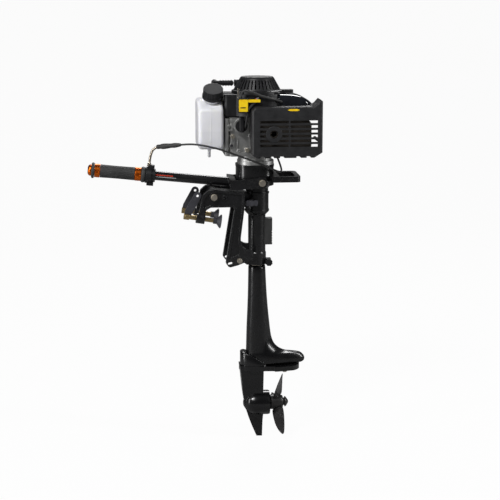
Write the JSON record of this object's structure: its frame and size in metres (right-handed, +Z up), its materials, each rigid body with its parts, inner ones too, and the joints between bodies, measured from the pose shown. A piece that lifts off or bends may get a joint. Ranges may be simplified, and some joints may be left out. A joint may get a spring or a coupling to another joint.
{
  "type": "outboard motor",
  "caption": "Small air-cooled outboard motor with tiller, transom clamp bracket, slotted muffler guard, white fuel tank and three-blade propeller.",
  "frame": {"origin": "middle of the downward seat that rests on the top edge of the boat's transom", "axes": "+X aft, the side of the propeller; +Y starboard; +Z up"},
  "size_m": [0.5978, 0.2395, 0.9735],
  "materials": {
    "bracket_paint": "semi-gloss black paint on cast aluminium",
    "steel": "zinc plated steel",
    "yellow_zinc": "yellow zinc plated steel",
    "dark_steel": "dark coated steel plate",
    "cast_aluminium": "sand cast aluminium",
    "black_plastic": "fine textured moulded plastic",
    "gloss_hood": "polished black plastic",
    "rubber": "moulded rubber",
    "orange_trim": "orange anodised look",
    "tank_white": "translucent natural polyethylene",
    "chrome": "plated pipe",
    "muffler_steel": "heat darkened steel",
    "propeller_black": "black painted aluminium",
    "rope": "braided cord"
  },
  "bodies": {
    "root": {"clamp_bracket": "bracket_paint", "bracket_bolts": "steel"},
    "cup_port": {"clamp_cup_port": "dark_steel"},
    "screw_port": {"clamp_screw_port": "yellow_zinc"},
    "handle_port": {"clamp_handle_port": "dark_steel"},
    "cup_starboard": {"clamp_cup_starboard": "dark_steel"},
    "screw_starboard": {"clamp_screw_starboard": "yellow_zinc"},
    "handle_starboard": {"clamp_handle_starboard": "dark_steel"},
    "swivel": {"swivel_bracket": "bracket_paint", "steering_bushes": "black_plastic", "rubber_buffer": "rubber"},
    "friction_wing": {"friction_screw": "dark_steel"},
    "knob": {"collar_knob": "black_plastic"},
    "motor": {"column_leg": "bracket_paint", "gearcase": "bracket_paint", "bearing_carrier": "bracket_paint", "shaft_bearings": "steel", "column_head": "bracket_paint", "carry_handle": "bracket_paint", "hex_bolts": "steel", "crankcase": "cast_aluminium", "crankshaft": "steel", "clutch_shoes": "steel", "connecting_rod": "steel", "piston": "cast_aluminium", "cylinder": "cast_aluminium", "cylinder_head": "cast_aluminium", "spark_plug": "steel", "ignition_coil": "black_plastic", "ignition_lead": "rubber", "flywheel": "cast_aluminium", "fan_housing": "black_plastic", "cylinder_shroud": "gloss_hood", "recoil_cover": "black_plastic", "muffler": "muffler_steel", "muffler_guard": "black_plastic", "carburettor": "cast_aluminium", "air_filter_case": "black_plastic", "fuel_tank": "tank_white", "throttle_cable": "rubber"},
    "tiller": {"tiller_arm": "bracket_paint", "throttle_housing": "black_plastic", "cable_elbow": "chrome", "cable_boot": "rubber"},
    "stop": {"stop_button": "black_plastic"},
    "grip": {"grip_rubber": "rubber", "grip_trim": "orange_trim"},
    "lever": {"throttle_lever": "dark_steel"},
    "driveline": {"drive_shaft": "steel", "pinion_gear": "steel", "clutch_drum": "steel"},
    "screw_propeller": {"propeller_shaft": "steel", "driven_gear": "steel", "propeller": "propeller_black", "propeller_nut": "propeller_black"},
    "reel": {"starter_reel": "black_plastic"},
    "pull": {"starter_handle": "black_plastic", "starter_rope": "rope"},
    "cap": {"fuel_cap": "black_plastic"},
    "dipstick": {"oil_dipstick": "black_plastic"}
  },
  "joints": [
    {"name": "tilt", "type": "hinge", "parent": "root", "child": "swivel", "pos_m": [-0.022, 0, 0.027], "axis": [0, -1, 0], "range_deg": [0, 70]},
    {"name": "steer", "type": "hinge", "parent": "swivel", "child": "motor", "pos_m": [0.095, 0, -0.1], "axis": [0, 0, 1], "continuous": true},
    {"name": "friction_turn", "type": "hinge", "parent": "swivel", "child": "friction_wing", "pos_m": [0.077, -0.035, 0.008], "axis": [0, 1, 0], "range_deg": [0, 180]},
    {"name": "knob_turn", "type": "hinge", "parent": "swivel", "child": "knob", "pos_m": [0.125, -0.02, -0.1545], "axis": [0, 1, 0], "range_deg": [0, 360]},
    {"name": "tiller_lift", "type": "hinge", "parent": "motor", "child": "tiller", "pos_m": [0.103, 0, 0.0625], "axis": [0, 1, 0], "range_deg": [0, 10], "deforming": ["throttle_cable"]},
    {"name": "throttle_twist", "type": "hinge", "parent": "tiller", "child": "grip", "pos_m": [-0.26838, 0, 0.08832], "axis": [-0.995, 0, 0.1004], "range_deg": [0, 75]},
    {"name": "throttle_open", "type": "hinge", "parent": "motor", "child": "lever", "pos_m": [0.14, 0.076, 0.192], "axis": [1, 0, 0], "range_deg": [0, 60]},
    {"name": "stop_press", "type": "slide", "parent": "tiller", "child": "stop", "axis": [0, 1, 0], "range_m": [0, 0.002], "stiffness_N_per_m": 1500, "springref_m": -0.001},
    {"name": "propeller_spin", "type": "hinge", "parent": "motor", "child": "screw_propeller", "pos_m": [0.15, 0, -0.546], "axis": [1, 0, 0], "continuous": true},
    {"name": "drive_spin", "type": "hinge", "parent": "motor", "child": "driveline", "pos_m": [0.095, 0, -0.3], "axis": [0, 0, 1], "continuous": true},
    {"name": "starter_pull", "type": "slide", "parent": "motor", "child": "pull", "axis": [-1, 0, 0], "range_m": [0, 0.6], "stiffness_N_per_m": 25, "springref_m": -0.3},
    {"name": "reel_turn", "type": "hinge", "parent": "motor", "child": "reel", "pos_m": [0.095, 0, 0.315], "axis": [0, 0, 1], "range_deg": [0, 1440]},
    {"name": "cap_turn", "type": "hinge", "parent": "motor", "child": "cap", "pos_m": [-0.022, -0.031, 0.284], "axis": [0, -0.5, 0.866], "range_deg": [0, 270]},
    {"name": "dipstick_turn", "type": "hinge", "parent": "motor", "child": "dipstick", "pos_m": [0.049, -0.058, 0.211], "axis": [0, -1, 0], "range_deg": [0, 90]},
    {"name": "clamp_port", "type": "slide", "parent": "root", "child": "cup_port", "axis": [-0.9871, 0, 0.1599], "range_m": [0, 0.01]},
    {"name": "screw_turn_port", "type": "hinge", "parent": "cup_port", "child": "screw_port", "pos_m": [-0.058, -0.047, -0.029], "axis": [0.9871, 0, -0.1599], "range_deg": [0, 1440]},
    {"name": "handle_fold_port", "type": "hinge", "parent": "screw_port", "child": "handle_port", "pos_m": [-0.09433, -0.047, -0.02312], "axis": [0, -1, 0], "range_deg": [0, 220]},
    {"name": "clamp_starboard", "type": "slide", "parent": "root", "child": "cup_starboard", "axis": [-0.9871, 0, 0.1599], "range_m": [0, 0.01]},
    {"name": "screw_turn_starboard", "type": "hinge", "parent": "cup_starboard", "child": "screw_starboard", "pos_m": [-0.058, 0.047, -0.029], "axis": [0.9871, 0, -0.1599], "range_deg": [0, 1440]},
    {"name": "handle_fold_starboard", "type": "hinge", "parent": "screw_starboard", "child": "handle_starboard", "pos_m": [-0.09433, 0.047, -0.02312], "axis": [0, -1, 0], "range_deg": [0, 220]}
  ],
  "couplings": [
    {"joint": "throttle_open", "follows": "throttle_twist", "ratio": 0.8},
    {"joint": "drive_spin", "follows": "propeller_spin", "ratio": 2},
    {"joint": "reel_turn", "follows": "starter_pull", "rad_per_m": 41.667},
    {"joint": "screw_turn_port", "follows": "clamp_port", "rad_per_m": 2513.3},
    {"joint": "screw_turn_starboard", "follows": "clamp_starboard", "rad_per_m": 2513.3}
  ]
}
